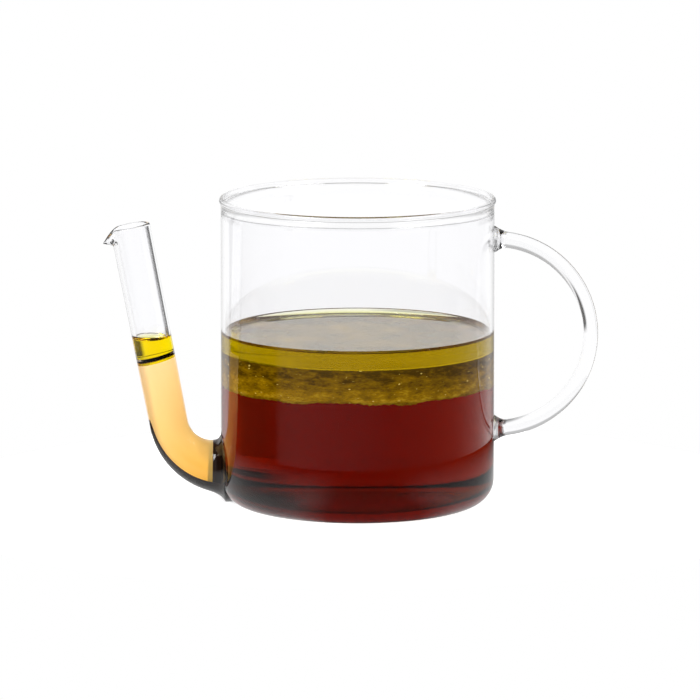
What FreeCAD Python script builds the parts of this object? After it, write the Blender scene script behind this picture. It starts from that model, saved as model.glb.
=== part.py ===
import FreeCAD, Part
import math
import os
import Sketcher

# Gravy fat separator: a lampworked glass jug with a low bent spout and a rod handle, filled.
# Millimetres. The origin is where the jug's axis meets the table, +Z up, handle at +X, spout at -X.

doc = FreeCAD.newDocument("GravyFatSeparator")
sizes = doc.addObject("Spreadsheet::Sheet", "sizes")

drivingSizes = {
    # the beaker
    "body_radius": 50.0,
    "body_height": 113.0,
    "wall": 1.8,
    "base_thickness": 2.6,
    "base_corner": 9.2,
    "rest_ring_inner": 32.0,
    "base_recess": 0.6,
    "recess_slope": 1.5,
    "bead_radius": 1.15,
    "bead_proud": 0.5,
    # the spout: a straight run that leans outward, one bend, and a flared root on the wall
    "spout_height": 13.6,
    "spout_lean": 10.8,
    "bend_radius": 19.0,
    "bend_end": 0.4,
    "straight_run": 74.7,
    "bend_lead": 8.0,
    "tube_radius": 7.0,
    "mouth_radius": 7.35,
    "tube_wall": 1.5,
    "root_swell": 3.0,
    "root_flare": 13.0,
    "root_run": 6.5,
    "root_bore": 7.9,
    # the pouring lip pulled out of the spout's mouth
    "lip_start": 3.0,
    "lip_length": 10.4,
    "lip_root_radius": 6.5,
    "lip_tip_radius": 1.6,
    "lip_wall": 1.2,
    "lip_fall_start": 5.6,
    "lip_fall_angle": 36.0,
    # the handle: a solid rod in half a circle, with a foot of gathered glass at each end
    "rod_radius": 2.85,
    "handle_radius": 35.0,
    "handle_centre": 50.2,
    "handle_height": 62.5,
    "foot_radius": 5.0,
    "foot_neck": 3.1,
    "foot_reach": 4.0,
    "foot_edge": 0.4,
    # the contents, as heights above the table
    "gravy_top": 44.6,
    "emulsion_top": 57.2,
    "fat_top": 62.6,
    "film_height": 54.0,
    "film_thickness": 1.5,
    "film_tilt": 15.0,
}
for row, (alias, value) in enumerate(drivingSizes.items(), start=1):
    sizes.set(f"A{row}", alias)
    sizes.set(f"B{row}", str(value))
    sizes.setAlias(f"B{row}", alias)
doc.recompute()


def size(alias):
    return float(sizes.get(alias))


def originFeature(body, role):
    return next(item for item in body.Origin.OriginFeatures if item.Role == role)


def sideSketch(body, name):
    # a sketch on the body's own XZ plane: x is across, y is up
    sketch = body.newObject("Sketcher::SketchObject", name)
    sketch.AttachmentSupport = [(originFeature(body, "XZ_Plane"), "")]
    sketch.MapMode = "FlatFace"
    return sketch


def bindPoint(sketch, geometry, end, label, across, up):
    # fixes one end of a line at two expressions in the sheet's cells, measured from the origin
    for kind, letter, formula in (("DistanceX", "X", across), ("DistanceY", "Y", up)):
        if formula == "0":
            axis = -2 if kind == "DistanceX" else -1
            sketch.addConstraint(Sketcher.Constraint("PointOnObject", geometry, end, axis))
            continue
        place = getattr(FreeCAD.Vector(sketch.getPoint(geometry, end)), letter.lower())
        number = sketch.addConstraint(Sketcher.Constraint(kind, -1, 1, geometry, end, place))
        sketch.renameConstraint(number, f"{label}{letter}")
        sketch.setExpression(f"Constraints.{label}{letter}", formula)


def profile(body, name, points, arcs):
    # A closed outline through points, each a pair of expressions. arcs gives, for the edge that
    # starts at a point's number, the arc's centre as two expressions and its turn: 1 or -1.
    def amount(formula):
        probe.setExpression("Length", f"({formula}) * 1 mm + 1000 mm")
        doc.recompute()
        return probe.Length.Value - 1000

    places = [FreeCAD.Vector(amount(across), amount(up), 0) for across, up in points]
    sketch = sideSketch(body, name)
    for number, start in enumerate(places):
        end = places[(number + 1) % len(places)]
        if number not in arcs:
            sketch.addGeometry(Part.LineSegment(start, end))
            continue
        (across, up), turn = arcs[number]
        centre = FreeCAD.Vector(amount(across), amount(up), 0)
        first = math.atan2(start.y - centre.y, start.x - centre.x)
        last = math.atan2(end.y - centre.y, end.x - centre.x)
        if turn < 0:
            first, last = last, first
        circle = Part.Circle(centre, FreeCAD.Vector(0, 0, 1), (start - centre).Length)
        sketch.addGeometry(Part.ArcOfCircle(circle, first, last))

    def endOf(number, which):
        # 1 is an edge's start and 2 its end, in the outline's order
        turned = number in arcs and arcs[number][1] < 0
        return which if not turned else 3 - which

    for number in range(len(points)):
        following = (number + 1) % len(points)
        joint = (number, endOf(number, 2), following, endOf(following, 1))
        sketch.addConstraint(Sketcher.Constraint("Coincident", *joint))
    for number, (across, up) in enumerate(points):
        bindPoint(sketch, number, endOf(number, 1), f"p{number}", across, up)
    for number, ((across, up), turn) in arcs.items():
        radius = sketch.Geometry[number].Radius
        rule = sketch.addConstraint(Sketcher.Constraint("Radius", number, radius))
        sketch.renameConstraint(rule, f"arc{number}")
        startX, startY = points[number]
        run = f"({startX} - ({across}))^2 + ({startY} - ({up}))^2"
        sketch.setExpression(f"Constraints.arc{number}", f"sqrt({run})")
    return sketch


def turned(name, points, arcs, axis="V_Axis"):
    # a body turned from an outline about the sketch's upright or level axis
    body = doc.addObject("PartDesign::Body", name)
    sketch = profile(body, f"{name}_outline", points, arcs)
    revolution = body.newObject("PartDesign::Revolution", f"{name}_turn")
    revolution.Profile = sketch
    revolution.ReferenceAxis = (sketch, [axis])
    revolution.Angle = 360
    doc.recompute()
    return body


def cut(name, base, tool):
    result = doc.addObject("Part::Cut", name)
    result.Base = base
    result.Tool = tool
    return result


def common(name, base, tool):
    result = doc.addObject("Part::Common", name)
    result.Base = base
    result.Tool = tool
    return result


def fused(name, shapes):
    result = doc.addObject("Part::MultiFuse", name)
    result.Shapes = shapes
    return result


probe = doc.addObject("Part::Box", "probe")

# the beaker's outer form, filled, for trimming what is welded on to it
cornerAcross = "sizes.body_radius - sizes.base_corner"
envelope = turned(
    "jug_envelope",
    [
        ("0", "0"),
        (cornerAcross, "0"),
        ("sizes.body_radius", "sizes.base_corner"),
        ("sizes.body_radius", "sizes.body_height"),
        ("0", "sizes.body_height"),
    ],
    {1: ((cornerAcross, "sizes.base_corner"), 1)},
)

# the space inside the beaker up to its rim, for the contents
inside = "sizes.body_radius - sizes.wall"
innerCornerUp = "sizes.base_thickness + sizes.base_corner - sizes.wall"
cavity = turned(
    "jug_cavity",
    [
        ("0", "sizes.base_thickness"),
        (cornerAcross, "sizes.base_thickness"),
        (inside, innerCornerUp),
        (inside, "sizes.body_height"),
        ("0", "sizes.body_height"),
    ],
    {1: ((cornerAcross, innerCornerUp), 1)},
)

# the beaker's glass: base with a resting ring, rounded corner, wall and fire-polished rim bead
beadAcross = "sizes.body_radius + sizes.bead_proud - sizes.bead_radius"
beadUp = "sizes.body_height - sizes.bead_radius"
beadFoot = "sqrt(sizes.bead_radius^2 - (sizes.bead_radius - sizes.bead_proud)^2)"
glass = turned(
    "jug_glass",
    [
        ("0", "sizes.base_recess"),
        ("sizes.rest_ring_inner - sizes.recess_slope", "sizes.base_recess"),
        ("sizes.rest_ring_inner", "0"),
        (cornerAcross, "0"),
        ("sizes.body_radius", "sizes.base_corner"),
        ("sizes.body_radius", f"{beadUp} - {beadFoot}"),
        (f"{beadAcross} - sizes.bead_radius", beadUp),
        (inside, innerCornerUp),
        (cornerAcross, "sizes.base_thickness"),
        ("0", "sizes.base_thickness"),
    ],
    {
        3: ((cornerAcross, "sizes.base_corner"), 1),
        5: ((beadAcross, beadUp), 1),
        7: ((cornerAcross, innerCornerUp), -1),
    },
)

# the spout's centre line
lean = math.radians(size("spout_lean"))
bendStart = math.pi / 2 - lean
bendCentre = FreeCAD.Vector(
    -size("body_radius") - size("bend_end"), 0, size("spout_height") + size("bend_radius")
)
beak = FreeCAD.Vector(-math.cos(lean), 0, -math.sin(lean))
upTube = FreeCAD.Vector(-math.sin(lean), 0, math.cos(lean))


def onBend(angle):
    # the point of the bend where the tube dips by this angle, and the way that it heads there
    outward = FreeCAD.Vector(-math.sin(angle), 0, -math.cos(angle))
    heading = FreeCAD.Vector(math.cos(angle), 0, -math.sin(angle))
    return bendCentre + outward * size("bend_radius"), heading


bendSteps = 6
swellPower = 1.8  # the tube widens slowly at first, then faster towards the root
rootGrowth = ((0.25, 0.62), (0.55, 0.9), (1.0, 1.0))  # share of the last run, share of the flare
mouthCentre = onBend(bendStart)[0] + upTube * size("straight_run")


def section(name, place, heading, radius):
    circle = doc.addObject("Part::Circle", name)
    circle.setExpression("Radius", radius)
    circle.Placement = FreeCAD.Placement(
        place, FreeCAD.Rotation(FreeCAD.Vector(0, 0, 1), heading)
    )
    return circle


def runRadius(mouth, tube, share):
    # the radius at a share of the way up the bend's lead, on the straight run's taper
    return f"{tube} + ({mouth} - {tube}) * sizes.bend_lead / sizes.straight_run * {share}"


def straightForm(name, mouth, tube, overrun):
    # the round form up the straight run, from the bend's lead to past the mouth by overrun
    cone = doc.addObject("Part::Cone", name)
    cone.setExpression("Radius1", runRadius(mouth, tube, 1.0))
    cone.setExpression("Radius2", mouth)
    cone.setExpression("Height", f"sizes.straight_run - sizes.bend_lead + {overrun}")
    cone.Placement = FreeCAD.Placement(
        onBend(bendStart)[0] + upTube * size("bend_lead"),
        FreeCAD.Rotation(FreeCAD.Vector(0, 0, 1), upTube),
    )
    return cone


def bendForm(name, mouth, tube, swell, flare):
    # The round form along the bend and into the wall. It starts a little way up the straight run,
    # grows by swell round the bend, and by flare on the last run.
    rings = []
    for share in (1.0, 0.5):
        place = onBend(bendStart)[0] + upTube * size("bend_lead") * share
        radius = runRadius(mouth, tube, share)
        rings.append(section(f"{name}_lead_{len(rings)}", place, upTube * -1, radius))
    for step in range(bendSteps + 1):
        share = step / bendSteps
        place, heading = onBend(bendStart * (1 - share))
        radius = f"{tube} + ({swell}) * {share ** swellPower:.4f}"
        rings.append(section(f"{name}_bend_{step}", place, heading, radius))
    for share, growth in rootGrowth:
        place = onBend(0)[0] + FreeCAD.Vector(size("root_run") * share, 0, 0)
        radius = f"{tube} + ({swell}) + ({flare}) * {growth}"
        heading = FreeCAD.Vector(1, 0, 0)
        rings.append(section(f"{name}_root_{len(rings)}", place, heading, radius))
    loft = doc.addObject("Part::Loft", name)
    loft.Sections = rings
    loft.Solid = True
    loft.Ruled = False
    return loft


straightOuter = straightForm("straight_outer", "sizes.mouth_radius", "sizes.tube_radius", 0)
straightBore = straightForm(
    "straight_bore",
    "sizes.mouth_radius - sizes.tube_wall",
    "sizes.tube_radius - sizes.tube_wall",
    2,
)
bendOuter = bendForm(
    "bend_outer",
    "sizes.mouth_radius",
    "sizes.tube_radius",
    "sizes.root_swell",
    "sizes.root_flare - sizes.tube_radius - sizes.root_swell",
)
bendBore = bendForm(
    "bend_bore",
    "sizes.mouth_radius - sizes.tube_wall",
    "sizes.tube_radius - sizes.tube_wall",
    "sizes.root_bore - sizes.tube_radius + sizes.tube_wall",
    "0",
)

# the pouring lip: an open half cone that points out of the mouth and droops
fall = math.radians(size("lip_fall_angle"))
slope = beak * math.cos(fall) - upTube * math.sin(fall)
aboveSlope = beak * math.sin(fall) + upTube * math.cos(fall)
fallStart = mouthCentre + beak * size("lip_fall_start")
lipStart = fallStart - slope * ((size("lip_fall_start") - size("lip_start")) / math.cos(fall))


def lipCone(name, thinner, reach):
    cone = doc.addObject("Part::Cone", name)
    cone.setExpression("Radius1", f"sizes.lip_root_radius - {thinner}")
    cone.setExpression("Radius2", f"sizes.lip_tip_radius - {thinner}")
    cone.setExpression("Height", reach)
    cone.Placement = FreeCAD.Placement(
        lipStart, FreeCAD.Rotation(FreeCAD.Vector(0, 0, 1), slope)
    )
    return cone


lipOuter = lipCone("lip_outer", "0", "sizes.lip_length")
lipChannel = lipCone("lip_channel", "sizes.lip_wall", "sizes.lip_length")


def blockAbove(name, place, along, up):
    # a large block that takes off all above a plane through place
    side = 4 * size("mouth_radius")
    block = doc.addObject("Part::Box", name)
    block.Length = side
    block.Width = side
    block.Height = side
    sideways = up.cross(along)
    block.Placement = FreeCAD.Placement(
        place - along * (side / 2) - sideways * (side / 2),
        FreeCAD.Rotation(along, sideways, up, "ZXY"),
    )
    return block


rimBlock = blockAbove("rim_block", mouthCentre, beak, upTube)
lipBlock = blockAbove("lip_block", fallStart, slope, aboveSlope)

tubeAndLip = fused("tube_and_lip", [straightOuter, lipOuter])
bored = cut("tube_bored", cut("tube_reamed", tubeAndLip, straightBore), lipChannel)
tubeHead = cut("tube_head", cut("tube_level", bored, rimBlock), lipBlock)
tubeRoot = cut("tube_root", cut("bend_bored", bendOuter, bendBore), envelope)
spoutTube = fused("spout_tube", [tubeHead, tubeRoot])
jugBody = cut("jug_body", glass, bendBore)

# the handle's rod: half a ring in the plane of the spout, cut back to the feet's faces
ring = doc.addObject("Part::Torus", "handle_ring")
ring.setExpression("Radius1", "sizes.handle_radius")
ring.setExpression("Radius2", "sizes.rod_radius")
ring.Angle3 = 180
ring.Placement = FreeCAD.Placement(
    FreeCAD.Vector(size("handle_centre"), 0, size("handle_height")),
    FreeCAD.Rotation(
        FreeCAD.Vector(0, 0, -1), FreeCAD.Vector(1, 0, 0), FreeCAD.Vector(0, -1, 0), "ZXY"
    ),
)
footFace = "sizes.body_radius + sizes.foot_reach"
stubBox = doc.addObject("Part::Box", "handle_stub_box")
stubBox.setExpression("Length", footFace)
stubBox.setExpression("Width", "sizes.handle_radius")
stubBox.setExpression("Height", "sizes.body_height")
stubBox.setExpression("Placement.Base.y", "-0.5 * sizes.handle_radius")
handleRod = cut("handle_rod", ring, stubBox)


def foot(name, height):
    # a collar of gathered glass, widest on the wall and drawn in to the rod
    start = "sizes.body_radius - sizes.foot_reach"
    edge = "sizes.body_radius + sizes.foot_edge"
    gather = turned(
        f"{name}_gather",
        [
            (start, "0"),
            (footFace, "0"),
            (footFace, "sizes.foot_neck"),
            (edge, "sizes.foot_radius"),
            (start, "sizes.foot_radius"),
        ],
        {},
        "H_Axis",
    )
    gather.Placement = FreeCAD.Placement(FreeCAD.Vector(0, 0, height), FreeCAD.Rotation())
    return cut(name, gather, envelope)


footRise = math.sqrt(
    size("handle_radius") ** 2
    - (size("body_radius") + size("foot_reach") - size("handle_centre")) ** 2
)
upperFoot = foot("upper_handle_foot", size("handle_height") + footRise)
lowerFoot = foot("lower_handle_foot", size("handle_height") - footRise)


def slab(name, low, high):
    # a wide block between two heights
    box = doc.addObject("Part::Box", name)
    box.setExpression("Length", "sizes.body_radius * 4")
    box.setExpression("Width", "sizes.body_radius * 4")
    box.setExpression("Height", f"{high} - ({low})")
    box.setExpression("Placement.Base.x", "-2 * sizes.body_radius")
    box.setExpression("Placement.Base.y", "-2 * sizes.body_radius")
    box.setExpression("Placement.Base.z", low)
    return box


# the contents of the beaker
gravy = common("gravy", cavity, slab("gravy_slab", "0", "sizes.gravy_top"))
emulsion = common(
    "emulsion_layer", cavity, slab("emulsion_slab", "sizes.gravy_top", "sizes.emulsion_top")
)
fat = common("fat_layer", cavity, slab("fat_slab", "sizes.emulsion_top", "sizes.fat_top"))

# the contents of the spout, parted by a dark film that lies aslant
spoutFill = fused("spout_fill", [straightBore, cut("bend_fill", bendBore, cavity)])
filmPlace = onBend(bendStart)[0] + upTube * (
    (size("film_height") - onBend(bendStart)[0].z) / math.cos(lean)
)
filmTurn = FreeCAD.Rotation(FreeCAD.Vector(0, 1, 0), -size("film_tilt"))


def filmBlock(name, bottom, height):
    # a block square to the film's slope, from bottom up, both measured from the film's middle
    box = doc.addObject("Part::Box", name)
    width = 4 * size("body_radius")
    box.Length = width
    box.Width = width
    box.Height = height
    corner = FreeCAD.Vector(-width / 2, -width / 2, bottom)
    box.Placement = FreeCAD.Placement(filmPlace + filmTurn.multVec(corner), filmTurn)
    return box


half = size("film_thickness") / 2
deep = size("body_height")  # more than the spout reaches below the film
spoutFilm = common("spout_film", spoutFill, filmBlock("film_slab", -half, 2 * half))
spoutGravy = common("spout_gravy", spoutFill, filmBlock("below_film", -deep - half, deep))
spoutTop = common("spout_top", spoutFill, slab("spout_fat_slab", "0", "sizes.fat_top"))
spoutFat = cut("spout_fat", spoutTop, filmBlock("under_fat", half - deep, deep))

doc.recompute()

nodes = [
    jugBody,
    spoutTube,
    handleRod,
    upperFoot,
    lowerFoot,
    gravy,
    emulsion,
    fat,
    spoutGravy,
    spoutFilm,
    spoutFat,
]
for item in doc.Objects:
    if "Invalid" in item.State or "Error" in item.State:
        raise RuntimeError(f"{item.Name} failed: {item.State}")
for node in nodes:
    node.Label = node.Name
    shape = node.Shape
    if shape.isNull() or not shape.isValid() or len(shape.Solids) != 1:
        raise RuntimeError(f"{node.Name} isn't one sound solid: {len(shape.Solids)} solids")
    box = shape.BoundBox
    print(
        f"{node.Name}: {shape.Volume / 1000:.2f} cm3,"
        f" x {box.XMin:.1f} to {box.XMax:.1f}, y {box.YMin:.1f} to {box.YMax:.1f},"
        f" z {box.ZMin:.1f} to {box.ZMax:.1f}"
    )

os.makedirs("parts", exist_ok=True)
for node in nodes:
    node.Shape.exportStep(f"parts/{node.Name}.step")
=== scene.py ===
import bpy
import math
import numpy as np
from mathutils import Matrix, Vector


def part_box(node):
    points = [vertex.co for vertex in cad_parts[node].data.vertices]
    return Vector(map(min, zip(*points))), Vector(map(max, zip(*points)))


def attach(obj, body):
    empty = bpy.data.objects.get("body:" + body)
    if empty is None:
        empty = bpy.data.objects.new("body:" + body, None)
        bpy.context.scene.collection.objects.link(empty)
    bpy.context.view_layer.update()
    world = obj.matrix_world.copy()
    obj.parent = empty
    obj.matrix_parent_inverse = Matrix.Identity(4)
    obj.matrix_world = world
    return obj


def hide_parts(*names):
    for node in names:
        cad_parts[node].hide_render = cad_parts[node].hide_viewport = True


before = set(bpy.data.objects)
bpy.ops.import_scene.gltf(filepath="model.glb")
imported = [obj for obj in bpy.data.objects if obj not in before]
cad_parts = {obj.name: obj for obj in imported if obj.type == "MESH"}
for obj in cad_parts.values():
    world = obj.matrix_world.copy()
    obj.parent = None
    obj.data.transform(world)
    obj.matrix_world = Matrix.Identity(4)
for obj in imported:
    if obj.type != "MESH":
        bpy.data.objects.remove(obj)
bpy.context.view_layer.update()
print("frame loaded:", len(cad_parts), "nodes")

mm = 0.001


# camera: long lens, a little above the rim, at the photograph's angle
cameraView = {
    "target": (-2.754, 0.0, 56.472),  # mm, the point in the middle of the picture
    "distance": 2600.0,               # mm
    "pitch": 9.587,                   # degrees above level
    "lens": 365.7,                    # mm on a 36 mm sensor
}


def makeCamera(values):
    camera = bpy.data.objects.new("photoCamera", bpy.data.cameras.new("photoCamera"))
    bpy.context.scene.collection.objects.link(camera)
    pitch = math.radians(values["pitch"])
    target = Vector(values["target"]) * mm
    back = Vector((0.0, -math.cos(pitch), math.sin(pitch)))
    camera.location = target + back * values["distance"] * mm
    camera.rotation_euler = (math.pi / 2 - pitch, 0.0, 0.0)
    camera.data.lens = values["lens"]
    camera.data.sensor_width = 36.0
    camera.data.clip_start = 0.1
    camera.data.clip_end = 50.0
    bpy.context.scene.camera = camera


makeCamera(cameraView)


# meshes from numpy grids
def makeMesh(name, points, faces):
    mesh = bpy.data.meshes.new(name)
    mesh.from_pydata((points * mm).tolist(), [], faces)
    mesh.polygons.foreach_set("use_smooth", np.ones(len(mesh.polygons), dtype=bool))
    mesh.update()
    piece = bpy.data.objects.new(name, mesh)
    bpy.context.scene.collection.objects.link(piece)
    return piece


def gridFaces(rows, columns, closeRows=False):
    # quads between neighbouring rows of a grid whose columns wrap round
    row = np.arange(rows if closeRows else rows - 1)[:, None]
    column = np.arange(columns)[None, :]
    nextRow, nextColumn = (row + 1) % rows, (column + 1) % columns
    corners = (row * columns + column, row * columns + nextColumn,
               nextRow * columns + nextColumn, nextRow * columns + column)
    return np.stack(np.broadcast_arrays(*corners), axis=-1).reshape(-1, 4)


def cappedSkin(name, rings, firstPole, lastPole):
    # rings is rows x columns x 3, closed at each end by a fan to a pole
    rows, columns = rings.shape[:2]
    points = np.vstack([rings.reshape(-1, 3), [firstPole], [lastPole]])
    column = np.arange(columns)
    nextColumn = (column + 1) % columns
    low, high = rows * columns, rows * columns + 1
    start = np.stack([nextColumn, column, np.full(columns, low)], axis=1)
    base = (rows - 1) * columns
    end = np.stack([base + column, base + nextColumn, np.full(columns, high)], axis=1)
    faces = gridFaces(rows, columns).tolist() + start.tolist() + end.tolist()
    return makeMesh(name, points, faces)


def loopSkin(name, rings):
    # rings is rows x columns x 3, with the last row joined to the first
    rows, columns = rings.shape[:2]
    return makeMesh(name, rings.reshape(-1, 3), gridFaces(rows, columns, True).tolist())


def paintRows(piece, rowMaterials, columns, lastFan=0):
    # the material of each row of quads, and of the fan that closes the last ring, if any
    indices = np.zeros(len(piece.data.polygons), dtype=np.int32)
    painted = np.repeat(np.asarray(rowMaterials, dtype=np.int32), columns)
    indices[:len(painted)] = painted
    if lastFan:
        indices[-columns:] = lastFan
    piece.data.polygons.foreach_set("material_index", indices)


def arc(centre, radius, start, end, count):
    # points centre + radius * (cos a, sin a) for a from start to end, in degrees
    angle = np.radians(np.linspace(start, end, count))
    return np.stack([centre[0] + radius * np.cos(angle), centre[1] + radius * np.sin(angle)], axis=1)


def line(start, end, count):
    # evenly spaced points from start up to, but not at, end
    share = np.linspace(0.0, 1.0, count, endpoint=False)[:, None]
    return np.array(start) + share * (np.array(end) - np.array(start))


def lathe(name, profile, segments, lift=None):
    # turns (radius, height) points, from the axis out and back, into rings about Z: each point is
    # (radius cos t, radius sin t, height), and lift(x, y, height) adds to its height
    angle = np.linspace(0.0, 2 * math.pi, segments, endpoint=False)[None, :]
    inner = profile[1:-1]
    radius, height = inner[:, :1], inner[:, 1:]
    x, y = radius * np.cos(angle), radius * np.sin(angle)
    z = np.broadcast_to(height, x.shape).copy()
    if lift is not None:
        z += lift(x, y, np.broadcast_to(height, x.shape))
    first, last = (0.0, 0.0, profile[0, 1]), (0.0, 0.0, profile[-1, 1])
    return cappedSkin(name, np.stack([x, y, z], axis=-1), first, last)


def smoothStep(low, high, value):
    share = np.clip((value - low) / (high - low), 0.0, 1.0)
    return share * share * (3 - 2 * share)


def ripples(seed, count, shortest, longest):
    # returns f(x, y) = sum of sin(kx x + ky y + phase), each with a seeded direction and a
    # wavelength in mm between shortest and longest, over the root of their count
    rng = np.random.RandomState(seed)
    length = np.exp(rng.uniform(math.log(shortest), math.log(longest), count))
    turn, phase = rng.uniform(0, 2 * math.pi, count), rng.uniform(0, 2 * math.pi, count)
    kx, ky = 2 * math.pi / length * np.cos(turn), 2 * math.pi / length * np.sin(turn)

    def height(x, y):
        total = np.zeros(np.shape(x))
        for i in range(count):
            total += np.sin(kx[i] * x + ky[i] * y + phase[i])
        return total / math.sqrt(count)
    return height


# materials
def linearColour(hexText):
    # sRGB to linear: c / 12.92 below 0.04045, else ((c + 0.055) / 1.055) to the power 2.4
    parts = [int(hexText[i:i + 2], 16) / 255 for i in (1, 3, 5)]
    return [c / 12.92 if c <= 0.04045 else ((c + 0.055) / 1.055) ** 2.4 for c in parts] + [1.0]


def addNode(tree, kind, settings=None, links=None):
    # settings go on the node's own properties or its inputs, links join inputs to outputs
    node = tree.nodes.new(kind)
    for key, value in (settings or {}).items():
        if isinstance(key, str) and hasattr(node, key):
            setattr(node, key, value)
        else:
            node.inputs[key].default_value = value
    for key, source in (links or {}).items():
        tree.links.new(source, node.inputs[key])
    return node


def newMaterial(name):
    material = bpy.data.materials.new(name)
    material.use_nodes = True
    material.node_tree.nodes.clear()
    return material, material.node_tree


def rampNode(tree, source, stops):
    # a colour ramp through the given (position, colour) stops
    ramp = addNode(tree, "ShaderNodeValToRGB", {}, {"Fac": source})
    elements = ramp.color_ramp.elements
    elements[0].position, elements[0].color = stops[0]
    elements[1].position, elements[1].color = stops[-1]
    for position, colour in stops[1:-1]:
        elements.new(position).color = colour
    return ramp.outputs["Color"]


def greyStops(stops, low, high):
    # (value, level) pairs to ramp stops, with the value as a share of the way from low to high
    return [((value - low) / (high - low), (level, level, level, 1.0)) for value, level in stops]


def mathNode(tree, operation, links, settings=None):
    node = addNode(tree, "ShaderNodeMath", {"operation": operation, **(settings or {})}, links)
    return node.outputs[0]


def mixNode(tree, links, settings=None):
    # mixes the colours on inputs 6 and 7 by the share on input 0
    return addNode(tree, "ShaderNodeMix", {"data_type": "RGBA", **(settings or {})}, links).outputs[2]


def timesNode(tree, first, second):
    return mixNode(tree, {6: first, 7: second}, {"blend_type": "MULTIPLY", 0: 1.0})


def endMaterial(tree, surface, volume=None):
    links = {"Surface": surface.outputs[0]}
    if volume is not None:
        links["Volume"] = volume.outputs[0]
    addNode(tree, "ShaderNodeOutputMaterial", {}, links)


def clearMaterial(name, ior, shadowHex, absorbHex=None, density=0.0, tintHex="#ffffff", wet=False):
    # a clear body that bends light: transmission 1, with its colour from the depth of it that the
    # light crosses, and lamps let through so that it casts a pale shadow; wet skins barely mirror
    material, tree = newMaterial(name)
    body = addNode(tree, "ShaderNodeBsdfPrincipled", {
        "Base Color": linearColour(tintHex), "Roughness": 0.0, "IOR": ior,
        "Transmission Weight": 1.0,
        "Specular Tint": linearColour("#000000" if wet else "#ffffff"),
    })
    passing = addNode(tree, "ShaderNodeBsdfTransparent", {"Color": linearColour(shadowHex)})
    path = addNode(tree, "ShaderNodeLightPath")
    mix = addNode(tree, "ShaderNodeMixShader", {}, {
        0: path.outputs["Is Shadow Ray"], 1: body.outputs[0], 2: passing.outputs[0],
    })
    depth = None
    if absorbHex:
        depth = addNode(tree, "ShaderNodeVolumeAbsorption", {
            "Color": linearColour(absorbHex), "Density": density,
        })
    endMaterial(tree, mix, depth)
    return material


# Borosilicate glass, blown and fire polished: quite clear, with bright rims and dark edges.
borosilicate = clearMaterial("borosilicateGlass", 1.473, "#f4f6f6", tintHex="#fdfdfe")
# The same glass where gravy wets it: what bends light there is glass against gravy, 1.473 against
# 1.36, so the gravy's own skin bends none.
glassOnGravy = clearMaterial("borosilicateOnGravy", 1.083, "#f4f6f6", tintHex="#fdfdfe")
# The same glass where oil wets it, which mirrors nothing.
glassOnFat = clearMaterial("borosilicateOnFat", 1.473, "#f4f6f6", tintHex="#fdfdfe", wet=True)
# Pan gravy: clear, red-brown to near black in depth.
panGravy = clearMaterial("panGravy", 1.0, "#e8d8c8", "#f4dd66", 230.0)
# Rendered fat: clear olive-gold oil.
renderedFat = clearMaterial("renderedFat", 1.467, "#f0ecc0", "#fbf93c", 260.0, wet=True)
# The same oil in the spout, where it shows bright yellow.
thinFat = clearMaterial("thinFat", 1.467, "#f8f4c0", "#fffa20", 620.0, wet=True)
# Skin between the oil and the gravy in the spout: near black brown.
darkSkin = clearMaterial("darkSkin", 1.0, "#604830", "#a07820", 2500.0)
# Painted shade on the beaker's base: a dark haze that stands in for the shade there.
paintedBaseShade = clearMaterial("paintedBaseShade", 1.0, "#806858", "#604848", 500.0)


def darkGravyAndShadeMaterial(name):
    # Black-brown, wet, and lets no light through: painted shade at the weld hole, and a dark layer along
    # the low side of the bend.
    material, tree = newMaterial(name)
    body = addNode(tree, "ShaderNodeBsdfPrincipled", {
        "Base Color": linearColour("#22120a"), "Roughness": 0.35, "IOR": 1.36, "Specular IOR Level": 0.1,
    })
    endMaterial(tree, body)
    return material


darkGravyAndShade = darkGravyAndShadeMaterial("darkGravyAndShade")


def sheenMaterial(name):
    # The oil's open surface: it bends no light of its own and mirrors the room at a low angle.
    material, tree = newMaterial(name)
    body = addNode(tree, "ShaderNodeBsdfPrincipled", {
        "Base Color": (1.0, 1.0, 1.0, 1.0), "Roughness": 0.0, "IOR": 1.0, "Transmission Weight": 1.0,
        "Coat Weight": 1.0, "Coat IOR": 1.6, "Coat Roughness": 0.0,
    })
    endMaterial(tree, body)
    return material


oilSheen = sheenMaterial("oilSheen")


def amberMaterial(name):
    # The same gravy in the narrow tube: cloudy amber, deeper near the beaker where it settles. It
    # passes and scatters light in about equal parts, and glows faintly in its own colour: painted
    # light that stands in for the light it scatters.
    material, tree = newMaterial(name)
    place = addNode(tree, "ShaderNodeTexCoord")
    split = addNode(tree, "ShaderNodeSeparateXYZ", {}, {0: place.outputs["Object"]})
    height = mathNode(tree, "DIVIDE", {0: split.outputs["Z"]}, {1: 60 * mm})
    tint = rampNode(tree, height, [
        (0.15, linearColour("#ffcb50")), (0.4, linearColour("#ffdd92")), (0.85, linearColour("#ffe4b2")),
    ])
    # the emission is a painted glow in the amber's own tint
    body = addNode(tree, "ShaderNodeBsdfPrincipled", {
        "Roughness": 0.6, "IOR": 1.0, "Transmission Weight": 0.62, "Emission Strength": 0.22,
    }, {"Base Color": tint, "Emission Color": tint})
    depth = addNode(tree, "ShaderNodeVolumeAbsorption", {
        "Color": linearColour("#ffeeb4"), "Density": 130.0,
    })
    endMaterial(tree, body, depth)
    return material


thinGravy = amberMaterial("thinGravy")


# the levels in the beaker, and how the liquids meet the glass
contents = {
    "gravyTop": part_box("gravy")[1][2] / mm,
    "emulsionTop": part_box("emulsion_layer")[1][2] / mm,
    "fatTop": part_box("fat_layer")[1][2] / mm,
    "overlap": 0.25,         # mm that each liquid reaches into the glass, so no air shows between
    "climb": 1.7,            # how far the oil climbs the wall
    "climbWidth": 1.5,       # and how fast it falls away from it
    "gap": 0.04,             # mm left open between two liquids
    "fatSink": 0.3,          # mm that the oil reaches into the cloudy band
    "segments": 512,
}


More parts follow.
